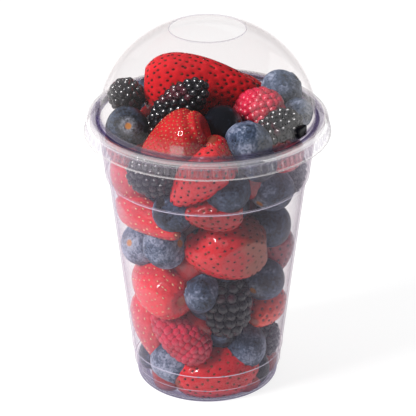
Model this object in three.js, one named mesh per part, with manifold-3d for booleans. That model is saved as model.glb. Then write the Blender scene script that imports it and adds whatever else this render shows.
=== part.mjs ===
// Fruit cup: a tapered clear cup, a clear domed lid with a die-cut hole, and the mixed fruit inside.
// Units are millimetres, +Z is up, and the origin is the middle of the circle that the cup stands on.
// Azimuths are in degrees: 0 looks out of the front (-Y) and +90 out of the right side (+X).
import * as THREE from "three";
import { mergeVertices } from "three/addons/utils/BufferGeometryUtils.js";
import Module from "manifold-3d";

const wasm = await Module();
wasm.setup();

// Cup
const SIDES = 36;
const HEAP_SIDES = 18;
const CUP_WALL = 0.7;
const FOOT_R = 30.2;
const PUNT_R = 24.5;
const PUNT_RISE = 1.6;
const STEP_H = 6.4;
const STEP_R = 31.6;
const BEAD_H = 13.8;
const BEAD_R = 32.7;
const WALL_FOOT_H = 14.4;
const WALL_FOOT_R = 32.5;
const SHOULDER_H = 94.5;
const SHOULDER_UNDER_R = 41.3;
const SHOULDER_R = 42.5;
const COLLAR_R = 45.0;
const COLLAR_H = 116.0;
const RIM_R = 47.15;
const RIM_H = 118.1;
const RIM_ROLL = 1.35;

// Lid
const LID_WALL = 0.55;
const SKIRT_H = 114.2;
const SKIRT_R = 51.0;
const BAND_H = 119.6;
const BAND_R = 49.9;
const RING_H = 120.9;
const RING_R = 48.9;
const GUTTER_H = 119.4;
const GUTTER_R = 45.0;
const DOME_R = 44.7;
const DOME_H = 120.3;
const DOME_RISE = 40.9;
const DOME_POWER = 1.93;
const HOLE_R = 16.24;
const DOME_STEPS = 6;
const LUGS = 5;
const LUG_TURN = -15.5;
const LUG = { wide: 5.6, tall: 4.2, proud: 1.3 };

// Fruit
const GAP = 0.35;
const PRESS = 0.49;
const CORE_INSET = 8.5;
const CORE_TOP = 112;

const rad = THREE.MathUtils.degToRad;

// A closed body from a geometry, as a solid that can be joined and cut.
function solid(geometry) {
  geometry.deleteAttribute("normal");
  geometry.deleteAttribute("uv");
  const merged = mergeVertices(geometry, 1e-4);
  const index = [...merged.index.array];
  const triangles = [];
  for (let i = 0; i < index.length; i += 3) {
    const [a, b, c] = index.slice(i, i + 3);
    if (a !== b && b !== c && c !== a) triangles.push(a, b, c);
  }
  return new wasm.Manifold(
    new wasm.Mesh({
      numProp: 3,
      vertProperties: merged.attributes.position.array,
      triVerts: new Uint32Array(triangles),
    }),
  );
}

// The solid's faces, back in a geometry.
function geometryOf(body) {
  const mesh = body.getMesh();
  const geometry = new THREE.BufferGeometry();
  const points = new Float32Array(mesh.numVert * 3);
  for (let i = 0; i < mesh.numVert; i += 1) {
    points.set(mesh.vertProperties.subarray(i * mesh.numProp, i * mesh.numProp + 3), i * 3);
  }
  geometry.setAttribute("position", new THREE.BufferAttribute(points, 3));
  geometry.setIndex(new THREE.BufferAttribute(mesh.triVerts, 1));
  geometry.computeVertexNormals();
  return geometry;
}

// The largest of the separate bodies that a cut leaves.
function largest(body) {
  return body.decompose().sort((a, b) => b.volume() - a.volume())[0];
}

// A body turned about +Z from [radius, height] corners, counter-clockwise with the axis on the left.
function turned(corners, sides = SIDES) {
  const points = corners.map(([r, h]) => new THREE.Vector2(r, h));
  return solid(new THREE.LatheGeometry(points, sides).rotateX(Math.PI / 2));
}

// Outer half of the cup, from the punt out to the foot and up to the rolled rim.
const cupOuter = [
  [0, PUNT_RISE],
  [PUNT_R, PUNT_RISE],
  [PUNT_R + 1.6, 0],
  [FOOT_R - 0.9, 0],
  [FOOT_R, 0.8],
  [STEP_R - 0.75, STEP_H - 0.5],
  [STEP_R, STEP_H],
  [BEAD_R - 0.45, BEAD_H - 0.7],
  [BEAD_R, BEAD_H],
  [WALL_FOOT_R, WALL_FOOT_H],
  [SHOULDER_UNDER_R, SHOULDER_H - 1.1],
  [SHOULDER_R, SHOULDER_H],
  [COLLAR_R, COLLAR_H],
];
const rimOuter = [-110, -40, 30, 100, 170].map((a) => [
  RIM_R + RIM_ROLL * Math.cos(rad(a)),
  RIM_H + RIM_ROLL * Math.sin(rad(a)),
]);
const cupInner = [
  [COLLAR_R - CUP_WALL, COLLAR_H],
  [SHOULDER_R - CUP_WALL, SHOULDER_H + 0.3],
  [SHOULDER_UNDER_R - CUP_WALL, SHOULDER_H - 1.0],
  [WALL_FOOT_R - CUP_WALL, WALL_FOOT_H],
  [STEP_R - CUP_WALL, STEP_H],
  [FOOT_R - 0.1 - CUP_WALL, 1.1],
  [FOOT_R - 1.2 - CUP_WALL, CUP_WALL],
  [PUNT_R + 1.3, CUP_WALL],
  [PUNT_R - 0.3, PUNT_RISE + CUP_WALL],
  [0, PUNT_RISE + CUP_WALL],
];

// Dome profile: radius of the outer face at a height above the cup.
function domeRadius(h, grow = 0) {
  const share = Math.min(1, Math.max(0, h - DOME_H) / (DOME_RISE + grow));
  return (DOME_R + grow) * (1 - share ** DOME_POWER) ** (1 / DOME_POWER);
}

function domeCurve(grow) {
  const corners = [];
  const last = Math.acos(HOLE_R / DOME_R);
  for (let i = 0; i <= DOME_STEPS; i += 1) {
    const turn = (last * i) / DOME_STEPS;
    const r = (DOME_R + grow) * Math.cos(turn) ** (2 / DOME_POWER);
    const h = DOME_H + (DOME_RISE + grow) * Math.sin(turn) ** (2 / DOME_POWER);
    corners.push([r, h]);
  }
  return corners;
}

function makeCup() {
  return turned([...cupOuter, ...rimOuter, ...cupInner]);
}

// The lid: skirt over the rim, top ring, gutter and dome, with lugs that keep stacked lids apart.
function makeLid() {
  const outer = domeCurve(0);
  const inner = domeCurve(-LID_WALL);
  const skin = [
    [SKIRT_R + 0.3, SKIRT_H],
    [SKIRT_R, SKIRT_H + 0.9],
    [BAND_R, BAND_H - 0.9],
    [BAND_R - 0.2, BAND_H],
    [RING_R, RING_H],
    [RING_R - 1.6, RING_H],
    [GUTTER_R + 0.5, GUTTER_H],
    ...outer,
    ...inner.reverse(),
    [DOME_R - LID_WALL, GUTTER_H - LID_WALL],
    [GUTTER_R + 0.8, GUTTER_H - LID_WALL],
    [RING_R - 1.3, RING_H - LID_WALL],
    [RING_R - 0.3, RING_H - LID_WALL],
    [BAND_R - 0.2 - LID_WALL, BAND_H - 0.3],
    [BAND_R - LID_WALL, BAND_H - 1.1],
    [SKIRT_R - 0.6, SKIRT_H],
  ];
  skin.push(skin[0]);
  let lid = turned(skin);
  for (let i = 0; i < LUGS; i += 1) {
    const block = new THREE.BoxGeometry(LUG.wide, LUG.proud + 1.2, LUG.tall);
    block.translate(0, -(DOME_R + LUG.proud - (LUG.proud + 1.2) / 2), DOME_H + 1.1 + LUG.tall / 2);
    block.rotateZ(rad(LUG_TURN + (360 * i) / LUGS));
    lid = lid.add(solid(block).subtract(turned(domeRoom(LID_WALL / 2, DOME_H - 3))));
  }
  return lid;
}

// The space under the dome and in the cup, drawn in from every wall by a gap.
function domeRoom(inset, from) {
  const corners = [[0, from], [DOME_R - inset, from]];
  for (let i = 0; i <= 8; i += 1) {
    const turn = (Math.PI / 2) * (i / 8);
    const r = i === 8 ? 0 : (DOME_R - inset) * Math.cos(turn) ** (2 / DOME_POWER);
    corners.push([r, DOME_H + (DOME_RISE - inset) * Math.sin(turn) ** (2 / DOME_POWER)]);
  }
  return corners;
}

function wallInside(h) {
  const wall = [...cupInner].reverse().filter(([r]) => r > PUNT_R + 1.5);
  wall.push([DOME_R - LID_WALL, DOME_H]);
  if (h > DOME_H) return domeRadius(h) - LID_WALL;
  for (let i = 1; i < wall.length; i += 1) {
    const [[r0, h0], [r1, h1]] = [wall[i - 1], wall[i]];
    if (h <= h1) return r0 + ((r1 - r0) * Math.max(0, h - h0)) / (h1 - h0);
  }
  return DOME_R - LID_WALL;
}

const roomFloor = [
  [0, PUNT_RISE + CUP_WALL + GAP],
  [PUNT_R + 0.4, PUNT_RISE + CUP_WALL + GAP],
  [PUNT_R + 2.2, CUP_WALL + GAP],
  [FOOT_R - 1.5 - CUP_WALL, CUP_WALL + GAP],
  [FOOT_R - 0.6 - CUP_WALL, 1.4],
];
const roomWall = [...cupInner]
  .reverse()
  .filter(([r, h]) => h >= STEP_H && r > PUNT_R)
  .map(([r, h]) => [r - GAP, h]);
const roomCorners = [...roomFloor, ...roomWall, ...domeRoom(LID_WALL + GAP, DOME_H).slice(1)];
const room = turned(roomCorners);
const heapRoom = turned(roomCorners, HEAP_SIDES);

// One fruit, its stem end along +Z, with few sides. point gives the radius and height of the skin
// at a turn from the stem end, for a half length and a half width.
const SHAPES = {
  strawberry: {
    sides: 12,
    rows: 7,
    colour: 0xc8202a,
    point(turn, half, wide) {
      const shoulder = Math.sin(turn) ** 0.88 * (1 + 0.3 * Math.cos(turn));
      return [wide * 0.96 * shoulder, half * Math.cos(turn)];
    },
  },
  blueberry: {
    sides: 10,
    rows: 8,
    colour: 0x3c4a66,
    point(turn, half, wide) {
      const crown = turn < 0.36 ? -0.13 * half * (1 - turn / 0.36) : 0;
      return [wide * Math.sin(turn), half * Math.cos(turn) + crown];
    },
  },
  raspberry: {
    sides: 14,
    rows: 8,
    colour: 0xc22f4a,
    bumps: 0.055,
    point(turn, half, wide) {
      return [wide * Math.sin(turn) ** 0.85 * (1 + 0.16 * Math.cos(turn)) * 0.96, half * Math.cos(turn)];
    },
  },
  bramble: {
    sides: 12,
    rows: 8,
    colour: 0x23212e,
    bumps: 0.075,
    point(turn, half, wide) {
      return [wide * Math.sin(turn) ** 0.8 * (1 + 0.08 * Math.cos(turn)) * 0.95, half * Math.cos(turn)];
    },
  },
};

function fruit(kind, long, wide, grow = 0, fewer = 0) {
  const shape = SHAPES[kind];
  const sides = shape.sides - fewer * 2;
  const rows = shape.rows - fewer;
  const ball = new THREE.SphereGeometry(1, sides, rows).rotateX(Math.PI / 2);
  ball.deleteAttribute("normal");
  ball.deleteAttribute("uv");
  const body = mergeVertices(ball, 1e-4);
  const at = body.attributes.position;
  const spot = new THREE.Vector3();
  for (let i = 0; i < at.count; i += 1) {
    spot.fromBufferAttribute(at, i);
    const turn = Math.acos(THREE.MathUtils.clamp(spot.z, -1, 1));
    const around = Math.atan2(spot.y, spot.x);
    const row = Math.round((turn / Math.PI) * rows);
    const column = Math.round((around / (2 * Math.PI)) * sides);
    const pole = row === 0 || row === rows;
    const bump = (shape.bumps ?? 0) * wide * (pole ? 0 : (row + column) % 2 ? -0.5 : 0.5);
    const [r, z] = shape.point(turn, long / 2, wide / 2);
    const radius = pole ? 0 : r + bump + grow;
    at.setXYZ(i, radius * Math.cos(around), radius * Math.sin(around), z + grow * Math.cos(turn));
  }
  return body;
}

// Places a fruit: its middle at a point, its stem end along a direction.
function placed(geometry, middle, stem, outward) {
  const z = stem.clone().normalize();
  const y = new THREE.Vector3().crossVectors(z, outward).normalize();
  const x = new THREE.Vector3().crossVectors(y, z);
  const frame = new THREE.Matrix4().makeBasis(x, y, z).setPosition(middle);
  return geometry.clone().applyMatrix4(frame);
}

// The crown: fruit that stands up into the dome, front pieces first. Each later piece gives way to
// the ones before it. at = middle, long and wide = sizes, stem = direction of the stem or calyx end.
const CROWN = [
  { name: "strawberry_front", kind: "strawberry", at: [-13.2, -25.4, 119.4], long: 30, wide: 22.6, stem: [0.86, -0.12, 0.42] },
  { name: "blueberry_front", kind: "blueberry", at: [16.4, -26.8, 119.5], long: 16.8, wide: 19.4, stem: [0.35, 0.4, 0.85] },
  { name: "blueberry_left", kind: "blueberry", at: [-32.7, -12.2, 119.8], long: 16, wide: 17.4, stem: [-0.1, -0.85, 0.45] },
  { name: "bramble_right", kind: "bramble", at: [29.5, -16.6, 121.2], long: 20.5, wide: 17, stem: [-0.7, 0.2, -0.5] },
  { name: "strawberry_tip", kind: "strawberry", at: [3.6, -29.5, 115.4], long: 18, wide: 14, stem: [0.2, 0.3, -0.9] },
  { name: "bramble_long", kind: "bramble", at: [-11.4, -9.4, 128.4], long: 29.5, wide: 17, stem: [-0.78, -0.1, -0.68] },
  { name: "bramble_left", kind: "bramble", at: [-33.6, 5.2, 126.2], long: 19, wide: 16, stem: [0.3, 0.7, -0.5] },
  { name: "blueberry_dark", kind: "blueberry", at: [6.2, -15.6, 121.8], long: 16, wide: 17, stem: [-0.9, 0.3, -0.3] },
  { name: "blueberry_side", kind: "blueberry", at: [37.0, -1.0, 121.2], long: 12.4, wide: 13.4, stem: [0.9, 0.1, 0.3] },
  { name: "raspberry_right", kind: "raspberry", at: [21.6, -4, 122.9], long: 25, wide: 22.4, stem: [-0.4, 0.6, -0.5] },
  { name: "strawberry_top", kind: "strawberry", at: [-3, 11.4, 127.4], long: 49, wide: 28, stem: [-1, 0.02, 0.03] },
  { name: "blueberry_right", kind: "blueberry", at: [30.8, 12.2, 125.7], long: 16.4, wide: 18, stem: [0.7, 0.1, 0.6] },
  { name: "strawberry_back", kind: "strawberry", at: [14.5, 27.5, 117.2], long: 26, wide: 19, stem: [-0.6, 0.5, -0.3] },
  { name: "blueberry_back", kind: "blueberry", at: [-22.6, 27.2, 117.6], long: 16, wide: 17.8, stem: [-0.3, 0.8, 0.5] },
  { name: "raspberry_back", kind: "raspberry", at: [-3.4, 33.2, 119.8], long: 23, wide: 18.5, stem: [-0.9, 0.1, 0.2] },
];

// Fruit pressed to the wall, fused to the heap: kind, azimuth, height, length, width, the lean of
// its stem end in the wall's plane (0 = to the right, 90 = up), and how far that end turns out.
const WALL_FRONT = [
  ["strawberry", -79, 93, 34, 24, 82],
  ["bramble", -42, 104, 22, 17.5, 170],
  ["strawberry", -6, 106, 33, 22, 48],
  ["blueberry", -26, 89.5, 17, 19.4, 125, 0.9],
  ["blueberry", 14, 101, 18, 19.6, -20],
  ["blueberry", 53, 96, 18, 20, 30],
  ["bramble", 80, 97, 20, 15, 80],
  ["strawberry", -48, 83, 38, 14.5, 177],
  ["strawberry", 18, 71, 36, 28, 4, 0.35],
  ["strawberry", 4, 91, 25, 16, 0],
  ["blueberry", 60, 77, 18.4, 20, 0],
  ["blueberry", -78, 63.5, 17.5, 19, 215, -1.2],
  ["blueberry", -38, 71.5, 17, 20.5, 200],
  ["strawberry", 79, 61, 22, 16, 90],
  ["blueberry", 62, 50.5, 18, 20, 15],
  ["strawberry", -56, 48, 36, 24, -2],
  ["blueberry", -5, 51.5, 14, 17.6, 165],
  ["bramble", 20, 42.5, 29, 22.5, 92],
  ["strawberry", 68, 35, 25, 16.5, 5],
  ["strawberry", -72, 26, 32, 19, 115],
  ["raspberry", -29, 27.5, 31, 20.5, -34],
  ["blueberry", 46, 19.5, 18.6, 21.2, 180, -0.85],
  ["bramble", 80, 17, 20, 16, 92],
  ["blueberry", -44, 10.6, 20, 22.6, 60, -1.6],
  ["strawberry", 12, 8.8, 38, 25.4, 8, -0.1],
  ["blueberry", 54, 7.6, 17, 18, 30],
];

// The back of the cup, filled in the same way: columns of mixed fruit between the two sides.
const BACK_TURNS = [116, 158, 200, 242];
const BACK_ROWS = [12, 35, 58, 80, 102];
const BACK_MIX = ["strawberry", "blueberry", "raspberry", "blueberry", "bramble", "strawberry", "raspberry"];
const BACK_SIZES = {
  strawberry: [31, 23],
  blueberry: [17, 18.6],
  raspberry: [25, 20.5],
  bramble: [26, 21],
};

function wallBack() {
  const list = [];
  BACK_ROWS.forEach((h, row) => {
    BACK_TURNS.forEach((turn, column) => {
      const kind = BACK_MIX[(row * 5 + column * 3) % BACK_MIX.length];
      const [long, wide] = BACK_SIZES[kind];
      const sway = Math.sin(row * 2.3 + column * 4.1);
      list.push([kind, turn + 5 * sway, h + 3 * Math.sin(row * 1.7 + column * 2.9), long, wide, 90 * sway]);
    });
  });
  return list;
}

// Pieces that close the gaps between the crown and the wall, at the height of the rim.
const WALL_RIM = [
  ["strawberry", -78, 111, 24, 18, 20],
  ["blueberry", 34, 112, 15, 16, 40],
  ["strawberry", 62, 111, 22, 16, 170],
];

function wallPiece([kind, turn, h, long, wide, lean, out = 0]) {
  const outward = new THREE.Vector3(Math.sin(rad(turn)), -Math.cos(rad(turn)), 0);
  const right = new THREE.Vector3(Math.cos(rad(turn)), Math.sin(rad(turn)), 0);
  const stem = right.multiplyScalar(Math.cos(rad(lean))).setZ(Math.sin(rad(lean)));
  stem.addScaledVector(outward, out);
  const middle = outward.clone().multiplyScalar(wallInside(h) - PRESS * wide).setZ(h);
  const side = new THREE.Vector3(0.3, -1, 0.2);
  return solid(placed(fruit(kind, long, wide, 0, 2), middle, stem, out ? side : outward));
}

function makeCore() {
  const corners = [[0, PUNT_RISE + CUP_WALL + GAP]];
  for (const h of [4, 90, CORE_TOP - 6]) corners.push([wallInside(h) - CORE_INSET, h]);
  corners.push([28, CORE_TOP], [0, CORE_TOP + 7]);
  return turned(corners, 12);
}

const crownSolids = [];
for (const piece of CROWN) {
  const middle = new THREE.Vector3(...piece.at);
  const stem = new THREE.Vector3(...piece.stem);
  const outward = new THREE.Vector3(0.3, -1, 0.2);
  const at = (grow) => solid(placed(fruit(piece.kind, piece.long, piece.wide, grow), middle, stem, outward));
  let body = at(0).intersect(room);
  for (const other of crownSolids) body = body.subtract(other.grown);
  const spare = 0.07 + 0.6 * (SHAPES[piece.kind].bumps ?? 0);
  const socket = fruit(piece.kind, piece.long, piece.wide, GAP + spare * piece.wide, 2);
  const cut = solid(placed(socket, middle, stem, outward));
  crownSolids.push({ piece, body: largest(body), grown: at(GAP), cut });
}

let heap = makeCore();
for (const item of [...WALL_FRONT, ...wallBack(), ...WALL_RIM]) heap = heap.add(wallPiece(item));
heap = heap.intersect(heapRoom);
for (const other of crownSolids) heap = heap.subtract(other.cut);
heap = largest(heap);

const clearPlastic = () =>
  new THREE.MeshStandardMaterial({ color: 0xe9e7f0, roughness: 0.08, metalness: 0, transparent: true, opacity: 0.3 });

const fruitCup = new THREE.Group();
function addNode(name, body, material) {
  const mesh = new THREE.Mesh(geometryOf(body), material);
  mesh.name = name;
  fruitCup.add(mesh);
}

addNode("cup", makeCup(), clearPlastic());
addNode("lid", makeLid(), clearPlastic());
addNode("fruit_heap", heap, new THREE.MeshStandardMaterial({ color: 0xa83242, roughness: 0.45, metalness: 0 }));
for (const { piece, body } of crownSolids) {
  const look = { color: SHAPES[piece.kind].colour, roughness: 0.4, metalness: 0 };
  addNode(piece.name, body, new THREE.MeshStandardMaterial(look));
}

export default fruitCup;
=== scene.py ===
import math

import bmesh
import bpy
from mathutils import Matrix, Vector, kdtree


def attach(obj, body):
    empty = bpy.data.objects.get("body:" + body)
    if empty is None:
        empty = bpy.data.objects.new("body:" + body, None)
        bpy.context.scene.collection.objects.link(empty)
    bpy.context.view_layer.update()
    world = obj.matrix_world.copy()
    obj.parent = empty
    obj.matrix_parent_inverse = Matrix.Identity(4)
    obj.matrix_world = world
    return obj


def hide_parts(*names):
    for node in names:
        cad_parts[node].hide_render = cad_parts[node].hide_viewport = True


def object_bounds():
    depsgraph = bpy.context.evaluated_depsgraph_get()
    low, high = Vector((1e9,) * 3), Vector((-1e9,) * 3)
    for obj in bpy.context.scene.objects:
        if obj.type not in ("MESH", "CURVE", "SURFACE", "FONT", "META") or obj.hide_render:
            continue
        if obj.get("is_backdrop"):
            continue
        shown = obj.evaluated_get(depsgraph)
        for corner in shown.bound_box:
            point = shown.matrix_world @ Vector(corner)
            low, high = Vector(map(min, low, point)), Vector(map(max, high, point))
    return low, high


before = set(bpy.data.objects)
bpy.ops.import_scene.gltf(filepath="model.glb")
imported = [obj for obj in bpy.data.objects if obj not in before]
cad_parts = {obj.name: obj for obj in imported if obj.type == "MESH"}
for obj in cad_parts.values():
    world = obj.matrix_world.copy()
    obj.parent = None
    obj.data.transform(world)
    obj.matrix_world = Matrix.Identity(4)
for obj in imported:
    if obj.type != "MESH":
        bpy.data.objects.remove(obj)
cad_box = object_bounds()

# Cup: a 16 oz cold-drink cup, vacuum-formed in one skin of clear PET.
# Two rings stiffen the foot, a shoulder keeps stacked cups apart, and the top edge is
# rolled outwards so that the lid can snap over it.
MM = 0.001
cup_outside = [
    (0.0, 1.6, 0, 0),
    (24.5, 1.6, 0.8, -0.6),
    (26.1, 0.0, 0.6, -1),
    (29.6, 0.0, 0.6, -1),
    (30.3, 0.9, 0.5, -0.8),
    (30.95, 5.9, 0.15, -0.2),
    (31.65, 6.3, 0.25, 1),
    (32.15, 13.1, 0.2, 0),
    (32.75, 13.7, 0.3, 1),
    (32.5, 14.4, 0.25, 0),
    (41.25, 93.3, 0.3, 0),
    (42.5, 94.5, 0.3, 1),
    (45.0, 116.0, 0.8, 0),
]
roll, roll_reach, roll_height, roll_fold = 1.3, 47.15, 118.1, 0.15
cup_rim = [
    Vector((roll_reach + roll * math.cos(turn), roll_height + roll * math.sin(turn), roll_fold))
    for turn in map(math.radians, range(-110, 181, 15))
]
cup_inside = [
    (44.3, 116.0, 0.6, 0),
    (41.85, 94.8, 0.3, 0.4),
    (40.6, 93.5, 0.3, 0),
    (31.8, 14.5, 0.25, 0),
    (31.85, 13.7, 0.2, 0),
    (31.45, 13.0, 0.2, 0),
    (30.95, 6.6, 0.2, 0),
    (30.3, 6.1, 0.15, 0),
    (29.6, 1.6, 0.4, 0),
    (29.0, 0.7, 0.3, -0.5),
    (26.0, 0.7, 0.5, -0.5),
    (24.3, 2.3, 0.8, 0),
    (0.0, 2.3, 0, 0),
]


def rounded(corners):
    """The profile with each corner eased, as (radius, height, fold).

    A corner is its radius, height and easing in mm, and how its fold shows: up to 1 where the bend
    is painted whiter (a painted highlight), down to -1 where it is drawn up thick, and -2 where it is
    painted nearly black (a painted dark reflection). An easing takes at most a share of each side,
    and the fold's mark fades just past the end of its easing.
    """
    most, past_end = 0.36, 1.3
    line = []
    for i, (r, h, ease, fold) in enumerate(corners):
        here = Vector((r, h, fold))
        if not ease or i in (0, len(corners) - 1):
            line.append(here)
            continue
        arms = []
        for r2, h2, _, fold2 in (corners[i - 1], corners[i + 1]):
            arm = Vector((r2 - r, h2 - h, 0))
            arms.append((arm, min((fold, fold2), key=abs) if fold * fold2 > 0 else 0))
        cut = min(ease, most * arms[0][0].length, most * arms[1][0].length)
        back, on = (arm.normalized() * cut for arm, _ in arms)
        line.append(Vector((*(here + past_end * back).xy, arms[0][1])))
        for t in (0, 0.25, 0.5, 0.75, 1):
            line.append(here + back * (1 - t) ** 2 + on * t * t)
        line.append(Vector((*(here + past_end * on).xy, arms[1][1])))
    return line


def spun(line, steps, closed=False):
    """A skin spun about the cup's axis from a profile of (radius, height, fold)."""
    bm = bmesh.new()
    verts = [bm.verts.new((0, -p.x * MM, p.y * MM)) for p in line]
    for a, b in zip(verts, verts[1:] + ([verts[0]] if closed else [])):
        bm.edges.new((a, b))
    bmesh.ops.spin(
        bm, geom=bm.verts[:] + bm.edges[:], cent=(0, 0, 0), axis=(0, 0, 1),
        angle=math.tau, steps=steps, use_merge=True, use_duplicate=False,
    )
    bmesh.ops.remove_doubles(bm, verts=bm.verts, dist=1e-7)
    bmesh.ops.dissolve_degenerate(bm, edges=bm.edges, dist=1e-8)
    bmesh.ops.recalc_face_normals(bm, faces=bm.faces)
    profile = kdtree.KDTree(len(line))
    for i, p in enumerate(line):
        profile.insert((p.x, p.y, 0), i)
    profile.balance()
    fold = bm.verts.layers.float.new("fold")
    for v in bm.verts:
        v[fold] = line[profile.find((v.co.xy.length / MM, v.co.z / MM, 0))[1]].z
    return bm


def finished(bm, name, material, node):
    """The piece as an object that rides on the body and stands for a CAD node."""
    mesh = bpy.data.meshes.new(name)
    bm.to_mesh(mesh)
    bm.free()
    mesh.shade_smooth()
    mesh.materials.append(material)
    piece = bpy.data.objects.new(name, mesh)
    bpy.context.scene.collection.objects.link(piece)
    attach(piece, "root")
    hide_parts(node)
    return piece


def colour(hex_code):
    """An sRGB hex colour as the linear values that a shader takes."""
    parts = [int(hex_code[i : i + 2], 16) / 255 for i in (1, 3, 5)]
    return tuple(c / 12.92 if c <= 0.04045 else ((c + 0.055) / 1.055) ** 2.4 for c in parts) + (1,)


def add(tree, kind, settings=None, **links):
    """A node with its settings, its sockets filled by values or by other sockets.

    A socket is given by its name, with _ for a space, or as _ and its number.
    """
    made = tree.nodes.new(kind)
    for key, value in (settings or {}).items():
        setattr(made, key, value)
    for key, value in links.items():
        numbered = key[0] == "_" and key[1:].isdigit()
        plug = made.inputs[int(key[1:]) if numbered else key.replace("_", " ")]
        if isinstance(value, bpy.types.NodeSocket):
            tree.links.new(value, plug)
        else:
            plug.default_value = value
    return made


def blank(name):
    """A material with an empty node tree and its output."""
    material = bpy.data.materials.new(name)
    material.use_nodes = True
    material.node_tree.nodes.clear()
    return material, material.node_tree, material.node_tree.nodes.new("ShaderNodeOutputMaterial")


# Settings that many nodes share.
of_colours, times_plus = {"data_type": "RGBA"}, {"operation": "MULTIPLY_ADD"}
eased = {"interpolation_type": "SMOOTHSTEP"}


# Clear PET, vacuum-formed and chilled: a face-on wall lets nearly all light through, and a glancing one
# mirrors the room and shows the fine mist on it. The back is tinted a little greyer than the front, a
# painted shade. A sharp bend gleams more and is painted whiter, a painted highlight; where it is drawn
# up thick its toner shows violet; and a mark of -2 paints it nearly black, a painted dark reflection.
def clear_pet(name, mist, mist_edge, clear_tint, back_shade_tint, edge_tint, mist_hue, sheen_hue):
    """PET with its share of mist, face on and at the edge, its tints seen through, and its hues."""
    toner, thick_tint, dark_reflection_hue = colour("#4C426E"), colour("#AEA6C0"), colour("#08070C")
    material, tree, out = blank(name)
    place = add(tree, "ShaderNodeTexCoord").outputs["Object"]
    wave = add(tree, "ShaderNodeTexNoise", Vector=place, Scale=1 / (16 * MM), Detail=1.0)
    bump = add(tree, "ShaderNodeBump", Strength=0.03, Distance=1 * MM, Height=wave.outputs["Fac"])
    facing = add(tree, "ShaderNodeLayerWeight", Blend=0.5).outputs["Facing"]
    steep = add(tree, "ShaderNodeMath", {"operation": "POWER"}, _0=facing, _1=6.0).outputs[0]
    slant = add(tree, "ShaderNodeMath", {"operation": "POWER"}, _0=facing, _1=2.0).outputs[0]
    fold = add(tree, "ShaderNodeAttribute", {"attribute_name": "fold"}).outputs["Fac"]
    # Over 0, the fold mark adds gleam and paints the plastic whiter: a painted highlight.
    white = add(tree, "ShaderNodeMath", {"operation": "MAXIMUM"}, _0=fold, _1=0.0).outputs[0]
    thick = add(
        tree, "ShaderNodeMapRange", Value=fold, From_Min=-1.0, From_Max=0.0, To_Min=1.0, To_Max=0.0
    ).outputs[0]
    # A mark of -2 paints the plastic nearly black: a painted dark reflection.
    painted_dark_mask = add(
        tree, "ShaderNodeMapRange", Value=fold, From_Min=-2.0, From_Max=-1.0, To_Min=1.0, To_Max=0.0
    ).outputs[0]
    sheen = add(tree, "ShaderNodeMapRange", Value=steep, To_Min=0.014, To_Max=0.3).outputs[0]
    mirror = add(
        tree, "ShaderNodeMath", {**times_plus, "use_clamp": True}, _0=white, _1=0.22, _2=sheen
    ).outputs[0]
    haze = add(tree, "ShaderNodeMapRange", Value=slant, To_Min=mist, To_Max=mist_edge).outputs[0]
    haze_and_bend_highlight = add(tree, "ShaderNodeMath", times_plus, _0=white, _1=0.4, _2=haze).outputs[0]
    thick_and_highlight_haze = add(tree, "ShaderNodeMath", times_plus, _0=thick, _1=0.26, _2=haze_and_bend_highlight).outputs[0]
    mist_and_painted_marks = add(
        tree, "ShaderNodeMath", {**times_plus, "use_clamp": True}, _0=painted_dark_mask, _1=0.55, _2=thick_and_highlight_haze
    ).outputs[0]
    toned = add(tree, "ShaderNodeMix", of_colours, _0=thick, _6=colour(mist_hue), _7=toner).outputs[2]
    milk_and_dark_reflection_hue = add(tree, "ShaderNodeMix", of_colours, _0=painted_dark_mask, _6=toned, _7=dark_reflection_hue).outputs[2]
    depth = add(tree, "ShaderNodeSeparateXYZ", Vector=place).outputs[1]
    # The back is tinted greyer than the front (on the lid only): a painted shade.
    back_shaded = add(
        tree, "ShaderNodeMapRange", eased, Value=depth, From_Min=-10 * MM, From_Max=30 * MM
    ).outputs[0]
    front_to_back_shade = add(
        tree, "ShaderNodeMix", of_colours, _0=back_shaded, _6=colour(clear_tint), _7=colour(back_shade_tint)
    ).outputs[2]
    thin = add(tree, "ShaderNodeMix", of_colours, _0=steep, _6=front_to_back_shade, _7=colour(edge_tint)).outputs[2]
    tint = add(tree, "ShaderNodeMix", of_colours, _0=thick, _6=thin, _7=thick_tint).outputs[2]
    see = add(tree, "ShaderNodeBsdfTransparent", Color=tint)
    gloss = add(
        tree, "ShaderNodeBsdfAnisotropic", Color=colour(sheen_hue), Roughness=0.05,
        Normal=bump.outputs[0],
    )
    milk_and_painted_marks = add(tree, "ShaderNodeBsdfDiffuse", Color=milk_and_dark_reflection_hue)
    body = add(tree, "ShaderNodeMixShader", Fac=mist_and_painted_marks, _1=see.outputs[0], _2=milk_and_painted_marks.outputs[0])
    skin = add(tree, "ShaderNodeMixShader", Fac=mirror, _1=body.outputs[0], _2=gloss.outputs[0])
    tree.links.new(skin.outputs[0], out.inputs["Surface"])
    return material


cup_pet = clear_pet(
    "clear_PET_cup", mist=0.004, mist_edge=0.17, clear_tint="#FBFAFA", back_shade_tint="#FBFAFA",
    edge_tint="#DCD4D6", mist_hue="#D6CEE8", sheen_hue="#EEEAF4",
)
cup = spun(rounded(cup_outside) + cup_rim + rounded(cup_inside), steps=128)
cup_piece = finished(cup, "cup_skin", cup_pet, "cup")

# Heart of the heap: the fruit too deep to tell apart, kept as one core painted dark red, a painted shade
# for the deep gaps. It stays well behind the wall, and closes the gaps that the berries in front of it
# leave.
core_bottom, core_rings, core_top = 2.8, (4, 30, 60, 90, 104), ((24, 111), (12, 114), (0, 115))
core_behind = 14
dome_radius, dome_height, dome_rise, dome_power, lid_wall = 44.7, 120.3, 40.9, 1.93, 0.55
foot_to_dome = [
    (29.3, 1.1), (30.9, 6.4), (31.8, 14.4), (40.6, 93.5), (41.8, 94.8), (44.3, 116.0), (44.15, 120.3),
]


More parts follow.
